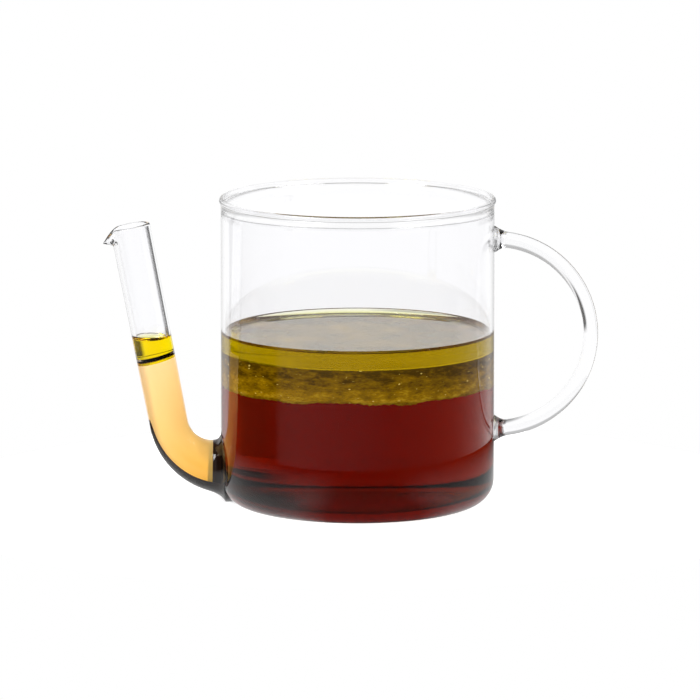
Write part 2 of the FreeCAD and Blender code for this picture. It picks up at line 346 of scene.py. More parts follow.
def cloudyMaterial(name):
    # Emulsion of fat in gravy: cloudy olive brown, laid down in thin uneven layers, paler and
    # golden to its lower edge, with bright flecks where drops catch the light.
    material, tree = newMaterial(name)
    place = addNode(tree, "ShaderNodeTexCoord")
    flat = addNode(tree, "ShaderNodeVectorMath", {"operation": "MULTIPLY", 1: (1.0, 1.0, 3.0)},
                   {0: place.outputs["Object"]})
    layers = addNode(tree, "ShaderNodeTexNoise", {"Scale": 150.0, "Detail": 5.0, "Roughness": 0.65},
                     {"Vector": flat.outputs[0]})
    grain = addNode(tree, "ShaderNodeTexNoise", {"Scale": 700.0, "Detail": 2.0, "Roughness": 0.5},
                    {"Vector": flat.outputs[0]})
    split = addNode(tree, "ShaderNodeSeparateXYZ", {}, {0: place.outputs["Object"]})
    depth = addNode(tree, "ShaderNodeMapRange", {
        "From Min": contents["emulsionTop"] * mm, "From Max": contents["gravyTop"] * mm,
        "To Min": -0.17, "To Max": 0.12,
    }, {"Value": split.outputs["Z"]})
    fine = mathNode(tree, "MULTIPLY_ADD", {0: grain.outputs["Fac"], 2: depth.outputs[0]}, {1: 0.28})
    total = mathNode(tree, "MULTIPLY_ADD", {0: layers.outputs["Fac"], 2: fine}, {1: 0.75})
    colour = rampNode(tree, total, [
        (0.34, linearColour("#4a3400")), (0.48, linearColour("#765600")),
        (0.60, linearColour("#967000")), (0.74, linearColour("#c09a20")),
    ])
    spots = addNode(tree, "ShaderNodeTexNoise", {"Scale": 420.0, "Detail": 1.0, "Roughness": 0.4},
                    {"Vector": flat.outputs[0]})
    fleck = addNode(tree, "ShaderNodeMapRange", {"From Min": 0.73, "From Max": 0.79},
                    {"Value": spots.outputs["Fac"]})
    both = mixNode(tree, {0: fleck.outputs[0], 6: colour}, {7: linearColour("#ffe070")})
    body = addNode(tree, "ShaderNodeBsdfPrincipled", {
        "Roughness": 0.5, "IOR": 1.40, "Specular IOR Level": 0.0,
    }, {"Base Color": both})
    endMaterial(tree, body)
    return material


def emulsionTopMaterial(name):
    # The emulsion's top under the oil: brown, and a mirror at a low angle.
    material, tree = newMaterial(name)
    place = addNode(tree, "ShaderNodeTexCoord")
    cloud = addNode(tree, "ShaderNodeTexNoise", {"Scale": 60.0, "Detail": 3.0},
                    {"Vector": place.outputs["Object"]})
    colour = rampNode(tree, cloud.outputs["Fac"], [
        (0.35, linearColour("#3c2014")), (0.55, linearColour("#6a4a24")), (0.7, linearColour("#8a6c20")),
    ])
    body = addNode(tree, "ShaderNodeBsdfPrincipled", {
        "Roughness": 0.1, "IOR": 1.5, "Coat Weight": 1.0, "Coat IOR": 1.8, "Coat Roughness": 0.02,
    }, {"Base Color": colour})
    endMaterial(tree, body)
    return material


emulsionTop = emulsionTopMaterial("emulsionTop")
cloudyEmulsion = cloudyMaterial("cloudyEmulsion")
print("materials made")


def dress(piece, materials, slot, *nodes):
    for material in materials:
        piece.data.materials.append(material)
    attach(piece, "root")
    if nodes:
        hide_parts(*nodes)
    print("made", piece.name, len(piece.data.polygons), "faces")


# the beaker's glass
jug = {
    "radius": 50.0,          # mm, outside
    "wall": 1.4,
    "height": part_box("jug_body")[1][2] / mm,
    "corner": 9.2,           # outer radius of the base corner
    "base": 2.6,
    "ringInner": 32.0,       # the resting ring's inner radius
    "recess": 0.6,
    "bead": 1.15,            # the rim bead's radius
    "beadProud": 0.5,
    "segments": 288,
    "fatLine": contents["fatTop"] + contents["climb"],
    "gravyLine": contents["emulsionTop"],
}


def jugProfile(v):
    # underside with its recess, resting ring, corner, wall, bead, and back down inside
    inner = v["radius"] - v["wall"]
    heel = v["radius"] - v["corner"]
    beadAcross = v["radius"] + v["beadProud"] - v["bead"]
    beadUp = v["height"] - v["bead"]
    low = math.degrees(math.acos((v["radius"] - beadAcross) / v["bead"]))
    innerUp = v["base"] + v["corner"] - v["wall"]
    return np.vstack([
        line((0.0, v["recess"]), (v["ringInner"] - 4.0, v["recess"]), 8),
        arc((v["ringInner"] - 4.0, v["recess"] - 2.0), 2.0, 90, 60, 4),
        line((v["ringInner"] - 2.6, v["recess"] - 0.4), (v["ringInner"], 0.0), 4),
        line((v["ringInner"], 0.0), (heel, 0.0), 6),
        arc((heel, v["corner"]), v["corner"], -90, 0, 28),
        line((v["radius"], v["corner"] + 1.0), (v["radius"], beadUp - 2.0), 24),
        arc((beadAcross, beadUp), v["bead"], -low, 180, 22),
        line((inner, beadUp - 1.0), (inner, v["fatLine"]), 14),
        line((inner, v["fatLine"]), (inner, v["gravyLine"]), 8),
        line((inner, v["gravyLine"]), (inner, innerUp), 14),
        arc((heel, innerUp), v["corner"] - v["wall"], 0, -90, 24),
        line((heel - 1.0, v["base"]), (0.0, v["base"]), 8),
        [(0.0, v["base"])],
    ])


def wetRows(profile):
    # 0 for dry rows of the beaker's skin, 1 for those on gravy or emulsion, 2 for those on fat
    radius, height = (profile[1:-2] + profile[2:-1]).T / 2
    inside = (np.arange(len(radius)) > len(radius) // 2) & (radius < jug["radius"] - jug["wall"] + 0.01)
    onFat = (height > jug["gravyLine"]) & (height < jug["fatLine"])
    return np.where(inside & onFat, 2, np.where(inside & (height < jug["gravyLine"]), 1, 0))


jugSkin = jugProfile(jug)
jugGlass = lathe("jugGlass", jugSkin, jug["segments"])
paintRows(jugGlass, wetRows(jugSkin), jug["segments"], 1)
dress(jugGlass, [borosilicate, glassOnGravy, glassOnFat], "clear_glass", "jug_body")


# the spout: its centre line is a straight run that leans out, one bend, and a level run into the wall
spout = {
    "lean": 10.8,            # degrees off upright
    "height": 13.6,          # mm, the level run above the table
    "bend": 19.0,            # the bend's radius
    "bendEnd": 50.4,         # where the bend ends, out from the jug's axis
    "straight": 74.7,
    "tube": 7.0,             # outer radius by the bend
    "mouth": 7.35,           # outer radius at the mouth
    "wall": 1.5,
    "swell": 3.2,            # how much the tube widens round the bend
    "flare": 3.2,            # how much more it flares on to the wall
    "flareRun": 5.0,
    "rootBore": 7.9,
    "lipReach": 3.4,         # how far the pouring lip stands out
    "lipDrop": 4.3,          # and how far it droops
    "lipLength": 10.0,       # how far down the tube it starts
    "lipHalfWidth": 48.0,    # degrees round the mouth
    "lipBlunt": 3.0,         # degrees over which its tip is rounded
    "straightFoot": (-69.06, 29.03),  # mm, x and z where the straight run ends
    "rootRows": 8.0,         # mm of the root that has closer rows
    "rootDepth": 0.5,        # mm that the root reaches into the beaker's wall
    "columns": 96,
}
spoutContents = {
    "level": contents["fatTop"] - 2.6,
    "film": 54.0,            # mm, the dark skin's middle on the centre line
    "filmTilt": 15.0,        # degrees
    "filmThickness": 1.5,
    "trace": 0.9,            # mm, the line of oil under the skin
    "overlap": 0.2,
    "climb": 2.0,
    "climbWidth": 1.6,
    "gap": 0.04,
    "rootDepth": 0.7,        # mm that the gravy's root end lies inside the beaker's outer skin
    "columns": 96,
}
lean = math.radians(spout["lean"])
bendTurn = math.pi / 2 - lean
bendLength = spout["bend"] * bendTurn
rootLength = spout["bendEnd"] - (jug["radius"] - 6.0)
tubeLength = spout["straight"] + bendLength


def spoutAxis(along):
    # The point and the heading at a length from the mouth. On the straight run the point is
    # mouth + along * heading. Round the bend it is centre + bend * (-sin a, -cos a), where a is
    # the dip, falling from its start to 0. After it the line runs level towards the jug.
    along = np.asarray(along, dtype=float)
    onBend = np.clip((along - spout["straight"]) / bendLength, 0.0, 1.0)
    dip = bendTurn * (1 - onBend)
    centreUp = spout["height"] + spout["bend"]
    x = -spout["bendEnd"] - spout["bend"] * np.sin(dip)
    z = centreUp - spout["bend"] * np.cos(dip)
    back = np.clip(spout["straight"] - along, 0.0, None)
    level = np.clip(along - tubeLength, 0.0, None)
    x = x - math.cos(bendTurn) * back + level
    z = z + math.sin(bendTurn) * back
    return x, z, dip


def outerRadius(along):
    # tapers down the straight run, widens round the bend as share ^ 1.8, and flares at the wall
    share = np.clip(along / spout["straight"], 0.0, 1.0)
    onBend = np.clip((along - spout["straight"]) / bendLength, 0.0, 1.0)
    nearWall = np.clip((along - tubeLength + spout["flareRun"] - 2.0) / spout["flareRun"], 0.0, 1.0)
    straight = spout["mouth"] + (spout["tube"] - spout["mouth"]) * share
    return straight + spout["swell"] * onBend ** 1.8 + spout["flare"] * nearWall ** 2.4


def boreRadius(along):
    onBend = np.clip((along - spout["straight"]) / bendLength, 0.0, 1.0)
    share = np.clip(along / spout["straight"], 0.0, 1.0)
    straight = spout["mouth"] + (spout["tube"] - spout["mouth"]) * share - spout["wall"]
    root = spout["rootBore"] - spout["tube"] + spout["wall"]
    return straight + root * onBend ** 1.8


def spoutPoint(along, radius, angle):
    # a point at radius from the centre line: axis + radius * (cos t * outward + sin t * across),
    # where outward is square to the heading, on the bend's outer side
    x, z, dip = spoutAxis(along)
    return np.stack([
        x - radius * np.cos(angle) * np.sin(dip),
        -radius * np.sin(angle) + 0 * x,
        z - radius * np.cos(angle) * np.cos(dip),
    ], axis=-1)


def wallDepth(depth, y, z):
    # x of the beaker's outer skin at -X, set in by depth: on the wall, minus the root of
    # (radius - depth)^2 - y^2; on the corner its radius shrinks with the corner's curve
    corner = jug["corner"] - depth
    fall = np.clip(jug["corner"] - z, 0.0, corner - 0.05)
    radius = jug["radius"] - jug["corner"] + np.sqrt(corner ** 2 - fall ** 2)
    return -np.sqrt(np.clip(radius ** 2 - y ** 2, 1.0, None))


def bore(share):
    return float(boreRadius(spout["straight"] * share))


def planeCut(offset, tilt, radius, angle):
    # The length along the centre line at which a point on the straight run's bore meets the plane
    # z = offset + tan(tilt) * (x - middle). It solves a linear equation for each angle.
    x0, z0, dip = spoutAxis(0.0)
    stepX, stepZ = math.cos(bendTurn), -math.sin(bendTurn)
    slope = math.tan(math.radians(tilt))
    footX, footZ = spout["straightFoot"]
    middle = footX - math.tan(lean) * (spoutContents["film"] - footZ)
    px = x0 - radius * np.cos(angle) * np.sin(dip)
    pz = z0 - radius * np.cos(angle) * np.cos(dip)
    return (offset + slope * (px - middle) - pz) / (stepZ - slope * stepX)


def pullLip(points, along, angle):
    # Moves points near the mouth out to the beak and down. Round the tube both fall off as
    # (1 - angle / half width) ^ 1.9, with the angle blunted at the tip. The reach ends over the
    # first few mm down the tube, and the drop dies out as (1 - along / length) ^ 1.7.
    turned = np.degrees((angle + math.pi) % (2 * math.pi) - math.pi)
    blunt = np.sqrt(turned ** 2 + spout["lipBlunt"] ** 2)
    peak = (1 - spout["lipBlunt"] / spout["lipHalfWidth"]) ** 1.9
    beak = np.clip(1 - blunt / spout["lipHalfWidth"], 0.0, 1.0) ** 1.9 / peak
    depth = np.clip(along, 0.0, None)
    outward = np.array([-math.cos(lean), 0.0, -math.sin(lean)])
    drop = np.array([math.sin(lean), 0.0, -math.cos(lean)])
    out = (spout["lipReach"] * beak * (1 - smoothStep(1.2, 5.0, depth)))[..., None]
    down = np.clip(1 - depth / spout["lipLength"], 0.0, 1.0) ** 1.7
    return points + outward * out + drop * (spout["lipDrop"] * beak * down)[..., None]


def flatRows(along):
    # the same length along the tube for every column of a row
    return np.repeat(np.atleast_1d(along)[:, None], spout["columns"], axis=1)


def makeSpout():
    # One closed skin: the outside from root to mouth, the rounded rim, and the bore back down.
    # Rows of the bore follow the line where the oil ends and the dark skin's line.
    angle = np.linspace(0.0, 2 * math.pi, spout["columns"], endpoint=False)[None, :]
    straight, end = spout["straight"], tubeLength + rootLength
    nearRoot, belowLip = tubeLength - spout["rootRows"], spout["lipLength"] + 1.0
    half = spout["wall"] / 2
    lipRows, dryRows, fatRows = 24, 24, 12
    outside = np.concatenate([
        np.linspace(end, nearRoot, 30, endpoint=False),
        np.linspace(nearRoot, straight, 40, endpoint=False),
        np.linspace(straight, belowLip, 30, endpoint=False),
        np.linspace(belowLip, half, lipRows),
    ])
    rim = np.radians(np.linspace(0, 180, 11)[1:-1])
    share = np.linspace(0.0, 1.0, dryRows + 1)[:, None]
    fatShare = np.linspace(0.0, 1.0, fatRows + 1)[:, None]
    fatLine = planeCut(spoutContents["level"] + spoutContents["climb"], 0.0, bore(0.5), angle)
    filmLine = planeCut(spoutContents["film"], spoutContents["filmTilt"], bore(0.6), angle)
    start, stop = flatRows(belowLip), flatRows(straight)
    inside = np.vstack([
        flatRows(np.linspace(half, belowLip, lipRows)),
        (start + (fatLine - start) * share)[1:],
        (fatLine + (filmLine - fatLine) * fatShare)[1:],
        (filmLine + (stop - filmLine) * share)[1:],
        flatRows(np.linspace(straight, nearRoot, 41)[1:]),
        flatRows(np.linspace(nearRoot, end, 31)[1:]),
    ])
    rimRows = flatRows(half - half * np.sin(rim))
    alongs = np.vstack([flatRows(outside), rimRows, inside])
    radius = np.vstack([
        outerRadius(flatRows(outside)),
        flatRows(outerRadius(0.0) - half + half * np.cos(rim)),
        boreRadius(inside),
    ])
    angles = np.broadcast_to(angle, alongs.shape)
    points = spoutPoint(alongs, radius, angles)
    points = pullLip(points, alongs, angles)
    # the root ends just inside the beaker's wall, on a skin like the wall's own
    skin = wallDepth(spout["rootDepth"], points[..., 1], points[..., 2])
    pastWall = (alongs > tubeLength - spout["rootRows"] / 2) & (points[..., 0] > skin)
    points[..., 0] = np.where(pastWall, skin, points[..., 0])
    piece = loopSkin("spoutGlass", points)
    wet = np.zeros(len(alongs), dtype=np.int32)
    firstWet = len(outside) + len(rim) + lipRows + dryRows - 1
    wet[firstWet:firstWet + fatRows] = 2
    wet[firstWet + fatRows:-1] = 1
    paintRows(piece, wet, spout["columns"])
    return piece


spoutGlass = makeSpout()
dress(spoutGlass, [borosilicate, glassOnGravy, glassOnFat], "clear_glass", "spout_tube")


# the handle: a solid rod round half a circle, drawn in at its middle and flared into two feet
handle = {
    "centre": (50.2, 62.5),   # mm, x and z of the half circle's centre
    "turn": 35.0,             # its radius
    "rodEnd": 2.95,           # the rod's radius by the feet
    "rodMiddle": 2.7,         # and at the far side
    "foot": 5.0,              # the foot's radius on the wall
    "footRun": 4.6,           # how far the foot reaches along the rod
    "overrun": 0.06,          # radians past the half circle at each end
    "rootDepth": 0.6,         # how far it reaches into the beaker's wall
    "columns": 64,
    "rows": 220,
}


def makeHandle(v):
    # Sweeps a circle round the half circle. Its radius is the rod's plus a foot at each end that
    # falls as (1 - distance / run) ^ 1.7. The ends lie just inside the beaker's wall.
    turn = np.linspace(-v["overrun"], math.pi + v["overrun"], v["rows"])[:, None]
    angle = np.linspace(0.0, 2 * math.pi, v["columns"], endpoint=False)[None, :]
    x = v["centre"][0] + v["turn"] * np.sin(turn)
    z = v["centre"][1] + v["turn"] * np.cos(turn)
    fromWall = np.clip(x - jug["radius"], 0.0, None)
    rod = v["rodEnd"] + (v["rodMiddle"] - v["rodEnd"]) * np.sin(np.clip(turn, 0, math.pi)) ** 2
    near = np.clip(1 - fromWall / v["footRun"], 0.0, 1.0)
    radius = rod + (v["foot"] - v["rodEnd"]) * near ** 1.7
    across = radius * np.sin(angle)
    outward = radius * np.cos(angle)
    # near the wall the rings stand upright, so that the foot is square to it
    tilt = turn * (1 - near) + np.where(turn < math.pi / 2, 0.0, math.pi) * near
    points = np.stack([
        x + outward * np.sin(tilt), -across + 0 * x, z + outward * np.cos(tilt),
    ], axis=-1)
    skin = np.sqrt((jug["radius"] - v["rootDepth"]) ** 2 - points[..., 1] ** 2)
    points[..., 0] = np.maximum(points[..., 0], skin)
    first, last = points[0].mean(axis=0), points[-1].mean(axis=0)
    return cappedSkin("handleGlass", points, first, last)


handleGlass = makeHandle(handle)
dress(handleGlass, [borosilicate], "clear_glass", "handle_rod", "upper_handle_foot", "lower_handle_foot")


# the contents of the beaker
innerRadius = jug["radius"] - jug["wall"]
slowWaves = ripples(11, 10, 14.0, 60.0)
fastWaves = ripples(12, 24, 1.2, 5.0)


def raggedEdge(x, y):
    # the cloudy band's lower edge: slow waves 0.5 mm high with fine ones 0.25 mm high on them
    return 0.5 * slowWaves(x, y) + 0.25 * fastWaves(x, y)


def makeGravy(v):
    reach = innerRadius + v["overlap"]
    heel = jug["radius"] - jug["corner"]
    cornerUp = jug["base"] + jug["corner"] - jug["wall"]
    bottom = jug["base"] - v["overlap"]
    top = v["gravyTop"] - v["gap"]
    profile = np.vstack([
        line((0.0, bottom), (heel, bottom), 8),
        arc((heel, cornerUp), jug["corner"] - jug["wall"] + v["overlap"], -90, 0, 24),
        line((reach, cornerUp + 1.0), (reach, top), 16),
        line((reach, top), (0.0, top), 60),
        [(0.0, top)],
    ])

    def lift(x, y, z):
        return np.where(z > top - 0.01, raggedEdge(x, y), 0.0)
    return lathe("gravyLiquid", profile, v["segments"], lift)


def makeEmulsion(v):
    reach = innerRadius + v["overlap"]
    bottom, top = v["gravyTop"], v["emulsionTop"] - v["gap"]
    topRows = 30
    profile = np.vstack([
        line((0.0, bottom), (reach, bottom), 60),
        line((reach, bottom), (reach, top), 10),
        line((reach, top), (0.0, top), topRows),
        [(0.0, top)],
    ])

    def lift(x, y, z):
        return np.where(z < bottom + 0.01, raggedEdge(x, y), 0.0)
    piece = lathe("emulsionLiquid", profile, v["segments"], lift)
    rows = np.arange(len(profile) - 3) >= len(profile) - 2 - topRows
    paintRows(piece, rows, v["segments"], 1)
    return piece


def makeFat(v):
    # the top's height is level + climb * exp(-(distance from the wall) / width)
    reach = innerRadius + v["overlap"]
    bottom, top = v["emulsionTop"] - v["fatSink"], v["fatTop"]
    fromWall = np.concatenate([np.linspace(0.0, 9.0, 36), np.linspace(10.0, innerRadius, 10)[:-1]])
    meniscus = np.stack([
        innerRadius - fromWall, top + v["climb"] * np.exp(-fromWall / v["climbWidth"]),
    ], axis=1)
    profile = np.vstack([
        line((0.0, bottom), (reach, bottom), 20),
        line((reach, bottom), (reach, top + v["climb"]), 10),
        [(reach, top + v["climb"])],
        meniscus,
        [(0.0, top)],
    ])
    return lathe("fatLiquid", profile, jug["segments"])


gravyLiquid = makeGravy(contents)
dress(gravyLiquid, [panGravy], "brown_gravy", "gravy")
emulsionLiquid = makeEmulsion(contents)
dress(emulsionLiquid, [cloudyEmulsion, emulsionTop], "cloudy_emulsion", "emulsion_layer")
fatLiquid = makeFat(contents)
dress(fatLiquid, [renderedFat], "golden_fat", "fat_layer")


# the contents of the spout
def column(name, lowEnd, highEnd, rows, climb=0.0):
    # A plug of liquid in the bore. lowEnd and highEnd are (plane height, tilt), or None for the
    # root in the beaker's wall. Its ends are discs of rings that shrink to a pole.
    v = spoutContents
    angle = np.linspace(0.0, 2 * math.pi, v["columns"], endpoint=False)
    middleRadius = bore(0.6) + v["overlap"]
    high = planeCut(highEnd[0], highEnd[1], middleRadius, angle)
    if lowEnd is None:
        low = np.full_like(high, tubeLength + rootLength)
    else:
        low = planeCut(lowEnd[0], lowEnd[1], middleRadius, angle)
    share = np.linspace(0.0, 1.0, rows)[:, None]
    along = low + (high - low) * share
    side = spoutPoint(along, boreRadius(along) + v["overlap"], np.broadcast_to(angle, along.shape))

    def disc(ring, rise):
        shrink = np.linspace(1.0, 0.0, 14)[1:-1][:, None, None]
        pole = ring.mean(axis=0)
        rings = pole + (ring - pole) * shrink
        fromWall = (1 - shrink[..., 0]) * middleRadius
        rings[..., 2] += rise * (np.exp(-fromWall / v["climbWidth"]) - 1)
        pole = pole + np.array([0.0, 0.0, rise * (math.exp(-middleRadius / v["climbWidth"]) - 1)])
        return rings, pole

    lowDisc, lowPole = disc(side[0], 0.0)
    highDisc, highPole = disc(side[-1], climb)
    rings = np.vstack([lowDisc[::-1], side, highDisc])
    if lowEnd is None:
        skin = wallDepth(v["rootDepth"], rings[..., 1], rings[..., 2])
        rings[..., 0] = np.minimum(rings[..., 0], skin)
        lowPole[0] = wallDepth(v["rootDepth"], 0.0, lowPole[2])
    return cappedSkin(name, rings, lowPole, highPole)


# plane heights, from the oil's foot down to the gravy's top, and their tilt
tilt, gap = spoutContents["filmTilt"], spoutContents["gap"]
halfFilm = spoutContents["filmThickness"] / 2
filmHigh, filmLow = spoutContents["film"] + halfFilm, spoutContents["film"] - halfFilm
fatLow = filmHigh + gap
traceHigh = filmLow - gap
traceLow = traceHigh - spoutContents["trace"]
gravyHigh = traceLow - gap
spoutGravyLiquid = column("spoutGravyLiquid", None, (gravyHigh, tilt), 120)
dress(spoutGravyLiquid, [thinGravy], "amber_gravy", "spout_gravy")

# painted shade: a black plug at the weld hole that stands in for the shade there; and a dark layer that
# lies along the low side of the bend
shade = {
    "from": -54.3,           # mm, x of the plug's two ends
    "to": -44.5,
    "radius": 8.6,
    "layerStart": spout["straight"] - 3.0,
    "layerDepth": 3.2,       # at the weld
    "layerTip": 0.15,        # its depth at the start
    "layerOverlap": 0.3,     # how far it reaches into the glass
    "glassLeft": 0.8,        # the glass outside it at the weld
    "widest": 11.6,          # its greatest radius there
}


# painted shade: a black plug in the gravy at the weld hole
def makeWeldShade(v):
    angle = np.linspace(0.0, 2 * math.pi, 64, endpoint=False)[None, :]
    turn = np.linspace(0.0, math.pi, 24)[1:-1, None]
    middle, half = (v["from"] + v["to"]) / 2, (v["to"] - v["from"]) / 2
    # ends rounded as a super-ellipse: x = middle - half * cos^0.6, radius * sin^0.6
    x = middle - half * np.sign(np.cos(turn)) * np.abs(np.cos(turn)) ** 0.6 + 0 * angle
    radius = v["radius"] * np.sin(turn) ** 0.6
    rings = np.stack([x, radius * np.cos(angle), spout["height"] - radius * np.sin(angle)], axis=-1)
    ends = [(x, 0.0, spout["height"]) for x in (v["from"], v["to"])]
    return cappedSkin("weldShade", rings, *ends)


def makeSpoutLayer(v):
    # Each ring is the bore's low side up to a chord. Its depth grows from the tip's to its full
    # value at the weld as share ^ 0.9. By the weld it follows the flare of the glass.
    along = np.linspace(v["layerStart"], tubeLength + rootLength - 1.5, 60)[:, None]
    share = (along - along[0]) / (tubeLength - along[0])
    depth = v["layerTip"] + v["layerDepth"] * np.clip(share, 0.0, 1.0) ** 0.9
    flare = smoothStep(tubeLength - spout["rootRows"], tubeLength + 2.0, along)
    outside = np.minimum(outerRadius(along) - v["glassLeft"], v["widest"])
    wall = boreRadius(along) + v["layerOverlap"]
    depth = depth + flare * (outside - wall)
    wall = wall + flare * (outside - wall)
    reach = np.arccos(1 - depth / wall)
    low = np.linspace(-1.0, 1.0, 25)[None, :] * reach
    chord = np.linspace(1.0, -1.0, 25)[None, 1:-1] * (wall * np.sin(reach))
    level = np.broadcast_to(wall * np.cos(reach), chord.shape)
    angle = np.concatenate([low, np.arctan2(chord, level)], axis=1)
    radius = np.concatenate([np.broadcast_to(wall, low.shape), np.hypot(chord, level)], axis=1)
    rings = spoutPoint(along, radius, angle)
    return cappedSkin("spoutLayer", rings[:, ::-1], rings[0].mean(axis=0), rings[-1].mean(axis=0))


# painted shade on the beaker's base: a dark haze, full at the left and the right
baseShade = {
    "left": (-12.0, -30.0),  # mm, x at which the left dark patch starts and is full
    "right": (24.0, 40.0),   # and the right one
    "thin": 0.03,            # thickness between them
    "darkDepth": 0.6,            # thickness of the full dark patches
    "top": 12.0,             # how far up the wall they reach
    "overlap": 0.1,          # mm that they reach into the glass
}


def makeBaseShade(v):
    # Painted shade on the beaker's base, in two dark patches. The skin follows the cavity's floor,
    # corner and wall, just inside the glass, and comes back down at the patches' thickness. Each
    # point is a centre plus reach * (cos a, sin a), with a at -90 degrees on the floor, turning
    # to 0 round the corner and staying there up the wall.
    floorRows, cornerRows, wallRows = 20, 16, 8
    angle = np.linspace(0.0, 2 * math.pi, jug["segments"], endpoint=False)[None, :]
    corner = jug["corner"] - jug["wall"]
    heel, cornerUp = jug["radius"] - jug["corner"], jug["base"] + corner
    floorOut = np.linspace(2.0, heel - 1.0, floorRows)
    wallUp = np.linspace(cornerUp + 0.5, v["top"], wallRows)
    ahead = np.radians(np.concatenate([
        np.full(floorRows, -90.0), np.linspace(-90, 0, cornerRows), np.zeros(wallRows),
    ]))[:, None]
    radius = np.concatenate([floorOut, np.full(cornerRows + wallRows, heel)])[:, None]
    height = np.concatenate([np.full(floorRows + cornerRows, cornerUp), wallUp])[:, None]
    x = (radius + corner * np.cos(ahead)) * np.cos(angle)
    darkAreas = smoothStep(v["left"][0], v["left"][1], x) + smoothStep(v["right"][0], v["right"][1], x)
    fade = 1 - smoothStep(cornerUp - 2.0, v["top"], height + corner * np.sin(ahead))
    thick = v["thin"] + v["darkDepth"] * darkAreas * fade

    def shell(reach):
        out = radius + reach * np.cos(ahead)
        up = height + reach * np.sin(ahead)
        return np.stack([out * np.cos(angle), out * np.sin(angle), up], axis=-1)

    rings = np.vstack([shell(corner + v["overlap"] + 0 * thick), shell(corner - thick)[::-1]])
    low, high = jug["base"] - v["overlap"], jug["base"] + v["thin"]
    return cappedSkin("baseShadePatches", rings, (0, 0, low), (0, 0, high))


baseShadePatches = makeBaseShade(baseShade)
dress(baseShadePatches, [paintedBaseShade], "brown_gravy")
weldShade = makeWeldShade(shade)
dress(weldShade, [darkGravyAndShade], "brown_gravy")
spoutLayer = makeSpoutLayer(shade)
dress(spoutLayer, [darkGravyAndShade], "brown_gravy")
spoutFatTrace = column("spoutFatTrace", (traceLow, tilt), (traceHigh, tilt), 4)
dress(spoutFatTrace, [thinFat], "golden_fat")
spoutFilmSkin = column("spoutFilmSkin", (filmLow, tilt), (filmHigh, tilt), 8)
dress(spoutFilmSkin, [darkSkin], "dark_film", "spout_film")
fatHigh = spoutContents["level"] + spoutContents["climb"]
spoutFatLiquid = column("spoutFatLiquid", (fatLow, tilt), (fatHigh, 0.0), 24, spoutContents["climb"])
dress(spoutFatLiquid, [thinFat], "golden_fat", "spout_fat")


def makeOilSheen():
    # a very thin skin just over the oil in the spout: level + climb * exp(-(from the wall) / width)
    v = spoutContents
    low, high, rows = 0.05, 0.08, 20   # mm over the oil, and rows from the middle to the wall
    radius = bore(0.5) - low
    middle = spoutAxis((spoutAxis(0.0)[1] - v["level"]) / math.cos(lean))[0]
    share = np.concatenate([np.linspace(0.05, 1.0, rows), np.linspace(1.0, 0.05, rows)])[:, None]
    angle = np.linspace(0.0, 2 * math.pi, v["columns"], endpoint=False)[None, :]
    rise = v["climb"] * np.exp(-radius * (1 - share) / v["climbWidth"])
    rise = rise + np.repeat([low, high], rows)[:, None] + 0 * angle
    x = middle + share * radius * np.cos(angle) / math.cos(lean) - math.tan(lean) * rise
    rings = np.stack([x, share * radius * np.sin(angle), v["level"] + rise], axis=-1)
    return cappedSkin("spoutOilSheen", rings, rings[0].mean(axis=0), rings[-1].mean(axis=0))


spoutOilSheen = makeOilSheen()
dress(spoutOilSheen, [oilSheen], "golden_fat")


# studio: a low white backdrop behind, a pale table, and a dark room round them
studio = {
    "diffuseLevel": 0.6,
    "floorRadius": 160.0,    # mm
    "floorHex": "#e9e9e9",
    "floorGlow": 0.8,
    "filmLeft": (2.0, 106.0),   # mm, x and y of the grey film's two sides
    "filmRight": (27.0, 92.0),
    "filmLow": 0.5,
    "filmHigh": 42.0,
    "filmLevel": 0.62,       # the light that its middle lets through
}


def compass(tree, vector):
    # the turn of a direction from +Y towards +X and its rise above level, both in degrees
    unit = addNode(tree, "ShaderNodeVectorMath", {"operation": "NORMALIZE"}, {0: vector})
    split = addNode(tree, "ShaderNodeSeparateXYZ", {}, {0: unit.outputs[0]})
    turn = mathNode(tree, "ARCTAN2", {0: split.outputs["X"], 1: split.outputs["Y"]})
    rise = mathNode(tree, "ARCSINE", {0: split.outputs["Z"]})
    return [mathNode(tree, "DEGREES", {0: angle}) for angle in (turn, rise)]


def levelRamp(tree, value, stops):
    # a ramp over degrees, from (degrees, level) stops
    low, high = stops[0][0], stops[-1][0]
    share = addNode(tree, "ShaderNodeMapRange", {"From Min": low, "From Max": high}, {"Value": value})
    return rampNode(tree, share.outputs[0], greyStops(stops, low, high))


def reflectedTone(tree, turn, rise):
    # What smooth surfaces mirror: the backdrop behind, with a sharp left end and a soft right one,
    # a faint lit wall to the front left, and a dark ceiling.
    around = levelRamp(tree, turn, [
        (-180, 0.15), (-150, 0.20), (-125, 0.24), (-112, 0.20), (-106, 0.01), (-44, 0.01),
        (-40, 1.05), (-30, 0.95), (-20, 0.62), (-11, 0.7), (-5, 1.1), (0, 1.1), (5, 1.1),
        (11, 0.5), (20, 0.45), (30, 0.9), (37, 1.05), (49, 0.75), (62, 0.50), (78, 0.28), (90, 0.15),
        (106, 0.10), (150, 0.08), (180, 0.15),
    ])
    up = levelRamp(tree, rise, [(-90, 1), (40, 1), (55, 0.1), (90, 0.1)])
    level = timesNode(tree, around, up)
    # the ground past the table, bright behind and to the sides and dim in front
    table = levelRamp(tree, turn, [
        (-180, 0.25), (-150, 0.3), (-125, 1.1), (0, 1.1), (125, 1.0), (150, 0.3), (180, 0.25),
    ])
    low = levelRamp(tree, rise, [(-90, 1), (-34, 1), (-16, 0), (90, 0)])
    return mixNode(tree, {0: low, 6: level, 7: table})


